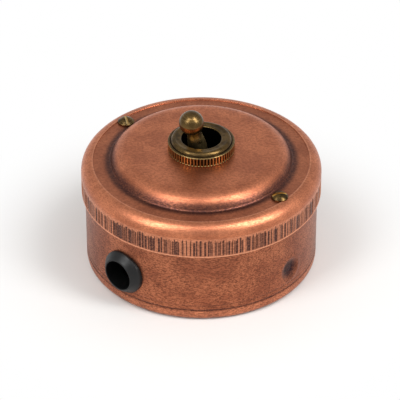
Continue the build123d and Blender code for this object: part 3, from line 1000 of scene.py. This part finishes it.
sawn = screws.data.attributes.new("sawn", "FLOAT", "FACE")
for face_row, mark in zip(screws.data.polygons, sawn.data):
    spot = face_row.center / MM
    mark.value = float(abs(spot.y) < SLOT_WIDTH / 2 + 0.01 and spot.z > HEAD_H - SLOT_DEPTH - 0.01)
print("sawn faces", sum(mark.value > 0 for mark in sawn.data))

# %% Both lid screws
LEFT_TURN = -36.0
RIGHT_TURN = 54.0


def screws_tree():
    """Stand a copy of the screw on each side, each with its own turn."""
    t, given = pattern_tree("lid_screws", ("Ring radius", "Height", "Left turn", "Right turn"))
    left_x = add(t, MATH, [given["Ring radius"], -1.0], operation="MULTIPLY")
    apart = add(t, MATH, [given["Ring radius"], 2.0], operation="MULTIPLY")
    start = add(t, "ShaderNodeCombineXYZ", {"X": left_x, "Z": given["Height"]})
    step = add(t, "ShaderNodeCombineXYZ", {"X": apart})
    line = add(t, "GeometryNodeMeshLine", {"Count": 2, "Start Location": start, "Offset": step})
    index = add(t, "GeometryNodeInputIndex")
    more = add(t, MATH, [given["Right turn"], given["Left turn"]], operation="SUBTRACT")
    turn = add(t, MATH, [index, more, given["Left turn"]], operation="MULTIPLY_ADD")
    spin = add(t, "ShaderNodeCombineXYZ", {"Z": turn})
    stood = add(t, "GeometryNodeInstanceOnPoints",
                {"Points": line, "Instance": given["Geometry"], "Rotation": spin})
    return pattern_end(t, stood, given["Finish"])


grown(screws, screws_tree(), {
    "Ring radius": screw_ring_r * MM, "Height": ring_top * MM, "Left turn": math.radians(LEFT_TURN),
    "Right turn": math.radians(RIGHT_TURN), "Finish": screw_brass})
dressed(screws, "case", "dark_brass", "lid_screw_left", "lid_screw_right")

# %% [markdown]
# ## Metals and mouldings inside
# The works show only through the bore and the cable hole, but they are finished too. Each
# but the plunger's spring keeps its solid, and gets a material for what it is made of; the
# dark brass among them is painted nearly black, as painted shade.


# %% Finishes of the pieces inside
def bare_metal(name, ground, tone, grain_mm, rough):
    """A metal with no film: two close tones and the fine grain of how it was made."""
    material, t, shader, place = bare_surface(name, 1.0)
    grain = add(t, NOISE, {"Vector": place, "Scale": per_mm(grain_mm), "Detail": 3.0})
    mask = add(t, RANGE, [grain, 0.35, 0.7], interpolation_type="SMOOTHSTEP")
    uneven = add(t, RANGE, [grain, 0.3, 0.7, rough - 0.05, rough + 0.1])
    finished(t, shader, laid_over(t, linear(ground), mask, 1.0, tone), uneven, grain, 0.008, 0.4)
    return material


def black_phenolic():
    """Moulded phenolic: hard, nearly black, with faint flow marks from the mould."""
    material, t, shader, place = bare_surface("moulded_black_phenolic", 0.0)
    flow = add(t, NOISE, {"Vector": place, "Scale": per_mm(2.0), "Detail": 5.0})
    mask = add(t, RANGE, [flow, 0.3, 0.75], interpolation_type="SMOOTHSTEP")
    rough = add(t, RANGE, [flow, 0.3, 0.7, 0.3, 0.42])
    finished(t, shader, laid_over(t, linear("1A1613"), mask, 1.0, "2A231E"), rough, flow, 0.02, 0.3)
    return material


# The dark brass of the works is painted nearly black, as painted shade, so the bore reads as a dark
# hole.
# Turned brass shows a yellow satin, strip copper a pink one, zinc and spring wire two greys.
finishes = {
    "copper": drum_copper,
    "dark_brass": bare_metal("shade_black_brass", "0A0807", "070505", 0.8, 0.6),
    "brass": bare_metal("turned_yellow_brass", "C9A560", "9C7C3E", 0.8, 0.25),
    "contact_copper": bare_metal("pressed_copper_strip", "C98462", "A3603F", 0.9, 0.28),
    "steel": bare_metal("zinc_plated_steel", "B9BAB6", "8E908D", 0.7, 0.35),
    "spring_steel": bare_metal("drawn_spring_wire", "8E8F90", "5D5E60", 0.4, 0.28),
    "rubber": rubber,
    "phenolic": black_phenolic(),
}
for row in frame["record"]["subparts"]:
    for slot in frame["nodes"][row["node"]].material_slots:
        slot.material = finishes[row["material_slot"]]
# The bush lines the bore under the nut, and takes the same near-black brass, as painted shade in the
# bore.
frame["nodes"]["bush"].material_slots[0].material = finishes["dark_brass"]

# %% [markdown]
# ## The plunger's spring
# A coil of wire in the lever's hollow arm pushes the plunger onto the rocker. A small
# Geometry Nodes tree winds it: a spiral of even radius, with a round section drawn along
# it. A stiff coil would cut into the plunger as that rises, so this one shortens towards
# its upper end by just the plunger's travel.

# %% Plunger spring
SPRING_COIL_R = 1.5
SPRING_WIRE_R = 0.25
SPRING_PITCH = 0.9
SPRING_LOW = -8.0
SPRING_HIGH = -ARM_WEB
TURN_STEPS = 24
SECTION_STEPS = 10


def spring_tree():
    """Round wire wound round the Z axis, from the origin upwards."""
    t, given = pattern_tree("wound_spring", ("Coil radius", "Wire radius", "Height", "Turns"))
    line = add(t, "GeometryNodeCurveSpiral",
               {"Resolution": TURN_STEPS, "Rotations": given["Turns"], "Height": given["Height"],
                "Start Radius": given["Coil radius"], "End Radius": given["Coil radius"]})
    section = add(t, "GeometryNodeCurvePrimitiveCircle",
                  {"Resolution": SECTION_STEPS, "Radius": given["Wire radius"]})
    wire = add(t, "GeometryNodeCurveToMesh",
               {"Curve": line, "Profile Curve": section, "Fill Caps": True})
    return pattern_end(t, wire, given["Finish"])


spring_length = SPRING_HIGH - SPRING_LOW
wound = spring_length - 2 * SPRING_WIRE_R
coil = cleaned("plunger_coil", bpy.data.meshes.new("plunger_coil"))
grown(coil, spring_tree(), {"Coil radius": SPRING_COIL_R * MM, "Wire radius": SPRING_WIRE_R * MM,
                            "Height": wound * MM, "Turns": wound / SPRING_PITCH,
                            "Finish": finishes["spring_steel"]})
placed(coil, leaned @ shift(0, 0, SPRING_LOW + SPRING_WIRE_R))
dressed(coil, "lever", "spring_steel", "plunger_spring")
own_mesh(coil)
measured = bmesh.new()
measured.from_mesh(coil.data)
print("wire volume", round(measured.calc_volume(signed=True) / MM ** 3, 2),
      "mm3, above 0 if it faces out")
measured.free()

# %% [markdown]
# ## Floor, light and camera
# The product stands on a white card. Two tall soft boxes stand over it, left and right:
# being tall, they give both the broad gleams on the shoulder and the upright ones on the
# ball. A weak one high in front joins the two gleams. The room is dim overhead, so that
# the metal has something dark to mirror. The card fades to white further out, as seen.

# %% Camera
CAMERA_AZIMUTH = 41.0
CAMERA_HEIGHT_DEG = 35.2
CAMERA_DISTANCE = 0.9
AIM_HEIGHT = 0.02115
FOCUS_PX = 2681.5
IMAGE_PX = 400
SENSOR_MM = 36.0
AXIS_SHIFT_PX = 1.3


def toward(azimuth, elevation, distance):
    a, e = math.radians(azimuth), math.radians(elevation)
    return Vector((math.sin(a) * math.cos(e), -math.cos(a) * math.cos(e), math.sin(e))) * distance


scene = bpy.context.scene
scene.view_settings.view_transform = "Standard"
aim_point = Vector((0, 0, AIM_HEIGHT))
lens = bpy.data.cameras.new("photo_camera")
lens.sensor_width = SENSOR_MM
lens.lens = FOCUS_PX / IMAGE_PX * SENSOR_MM
lens.shift_x = -AXIS_SHIFT_PX / IMAGE_PX
camera = bpy.data.objects.new("photo_camera", lens)
camera.location = aim_point + toward(CAMERA_AZIMUTH, CAMERA_HEIGHT_DEG, CAMERA_DISTANCE)
camera.rotation_euler = (aim_point - camera.location).to_track_quat("-Z", "Y").to_euler()
scene.collection.objects.link(camera)
scene.camera = camera
print("camera at", [round(v, 3) for v in camera.location])

# %% Floor
FLOOR_HALF = 3.0
FADE_FROM = 46.0
FADE_TO = 90.0


def white_sweep():
    """Painted white card: matt, seen as pure white away from the object."""
    material, t, shader, place = bare_surface("painted_white_card", 0.0)
    shader.inputs["Specular IOR Level"].default_value = 0.0
    tooth = add(t, NOISE, {"Vector": place, "Scale": per_mm(6.0), "Detail": 3.0})
    rough = add(t, RANGE, [tooth, 0, 1, 0.85, 0.95])
    finished(t, shader, laid_over(t, linear("D3D1CF"), tooth, 0.1, "CCCAC8"), rough, tooth, 0.002, 0.1)
    camera_ray = add(t, "ShaderNodeLightPath", out="Is Camera Ray")
    glossy_ray = add(t, "ShaderNodeLightPath", out="Is Glossy Ray")
    through_ray = add(t, "ShaderNodeLightPath", out="Is Transmission Ray")
    seen = add(t, MATH, [camera_ray, glossy_ray], operation="MAXIMUM")
    seen = add(t, MATH, [seen, through_ray], operation="MAXIMUM")
    far = add(t, RANGE, [from_axis(t, place), FADE_FROM * MM, FADE_TO * MM],
              interpolation_type="SMOOTHSTEP")
    share = add(t, MATH, [seen, far], operation="MULTIPLY")
    white = add(t, "ShaderNodeEmission", {"Color": linear("FFFFFF"), "Strength": 1.0})
    blend = add(t, "ShaderNodeMixShader", [share, shader.outputs[0], white])
    t.links.new(blend, t.nodes["Material Output"].inputs["Surface"])
    return material


sweep_mesh = bpy.data.meshes.new("sweep")
edge_points = [(x * FLOOR_HALF, y * FLOOR_HALF, 0) for x, y in ((-1, -1), (1, -1), (1, 1), (-1, 1))]
sweep_mesh.from_pydata(edge_points, [], [(0, 1, 2, 3)])
sweep_mesh.materials.append(white_sweep())
sweep = bpy.data.objects.new("sweep", sweep_mesh)
scene.collection.objects.link(sweep)
print("floor", FLOOR_HALF * 2, "m wide")


# %% Lamps
def soft_box(name, azimuth, elevation, distance, width, height, power):
    """A rectangular lamp. Its azimuth is measured from the camera, to the camera's right."""
    lamp = bpy.data.lights.new(name, "AREA")
    lamp.shape = "RECTANGLE"
    lamp.size = width
    lamp.size_y = height
    lamp.energy = power
    holder = bpy.data.objects.new(name, lamp)
    holder.location = aim_point + toward(CAMERA_AZIMUTH + azimuth, elevation, distance)
    holder.rotation_euler = (aim_point - holder.location).to_track_quat("-Z", "Y").to_euler()
    scene.collection.objects.link(holder)
    print(name, power, "W")


soft_box("tall_left", azimuth=-48, elevation=46, distance=0.9, width=0.32, height=0.75, power=4.9)
soft_box("tall_right", azimuth=60, elevation=46, distance=0.9, width=0.28, height=0.75, power=6.2)
soft_box("front_fill", azimuth=8, elevation=62, distance=0.9, width=0.5, height=0.3, power=0.8)

# %% Room
LOW_LIGHT = 0.82
HIGH_LIGHT = 0.6
ROOM_FROM = 0.15
ROOM_TO = 0.75

world = bpy.data.worlds.new("studio")
scene.world = world
world.use_nodes = True
t = world.node_tree
upward = height_of(t, add(t, "ShaderNodeTexCoord", out="Generated"))
level = add(t, RANGE, [upward, ROOM_FROM, ROOM_TO, LOW_LIGHT, HIGH_LIGHT],
            interpolation_type="SMOOTHSTEP")
level = add(t, MATH, [level, add(t, "ShaderNodeLightPath", out="Is Camera Ray")], operation="MAXIMUM")
back = t.nodes["Background"]
t.links.new(level, back.inputs["Strength"])
back.inputs["Color"].default_value = (1, 1, 1, 1)
print("room from", HIGH_LIGHT, "overhead to", LOW_LIGHT, "at the sides")
